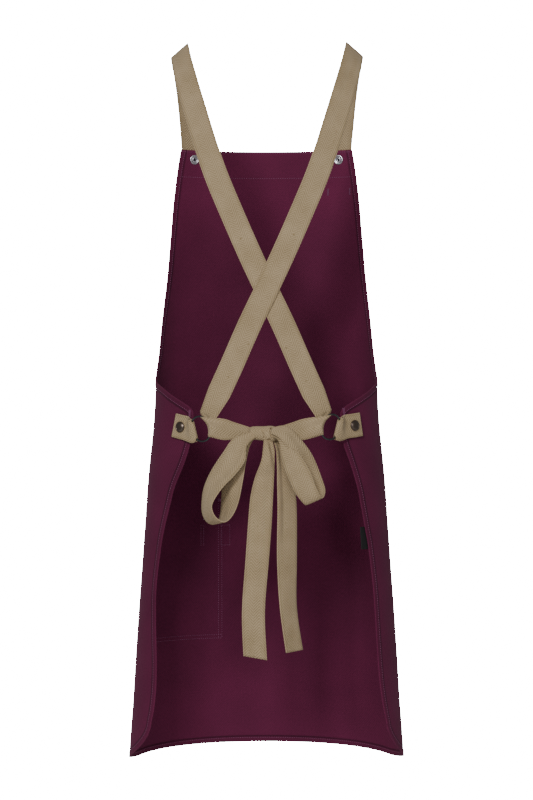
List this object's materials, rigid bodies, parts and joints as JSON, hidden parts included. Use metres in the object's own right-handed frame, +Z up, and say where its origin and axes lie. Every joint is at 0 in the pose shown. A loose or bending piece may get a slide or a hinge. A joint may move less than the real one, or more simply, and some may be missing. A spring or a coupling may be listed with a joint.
{
  "type": "bib apron",
  "caption": "Cotton twill bib apron with webbing straps that cross at the back, pass through hip rings and tie in a bow.",
  "frame": {"origin": "midway between the two places where the straps rest on the shoulders, on the underside of the webbing", "axes": "+Z up along the apron, +Y the way the wearer faces, +X towards the wearer's right"},
  "size_m": [0.386, 0.274, 1.0105],
  "materials": {
    "cotton_twill": "matt burgundy cotton twill with paler stitching",
    "cotton_webbing": "tan herringbone webbing",
    "gunmetal_ring": "dark gunmetal plating",
    "antique_cap": "dark antique bronze plating",
    "nickel_snap": "silver nickel plating",
    "woven_label": "plain black woven tape"
  },
  "bodies": {
    "root": {"apron_panel": "cotton_twill", "hip_pocket": "cotton_twill", "bib_loop": "cotton_twill", "shoulder_strap_left": "cotton_webbing", "shoulder_strap_right": "cotton_webbing", "bow_knot": "cotton_webbing", "bow_loop_left": "cotton_webbing", "bow_loop_right": "cotton_webbing", "tie_tail_left": "cotton_webbing", "tie_tail_right": "cotton_webbing", "ring_tab_left": "cotton_webbing", "ring_tab_right": "cotton_webbing", "utility_loop": "cotton_webbing", "ring_left": "gunmetal_ring", "ring_right": "gunmetal_ring", "tab_cap_left": "antique_cap", "tab_cap_right": "antique_cap", "bib_cap_left": "antique_cap", "bib_cap_right": "antique_cap", "tab_snap_back_left": "nickel_snap", "tab_snap_back_right": "nickel_snap", "bib_snap_back_left": "nickel_snap", "bib_snap_back_right": "nickel_snap", "side_label": "woven_label"}
  },
  "joints": []
}
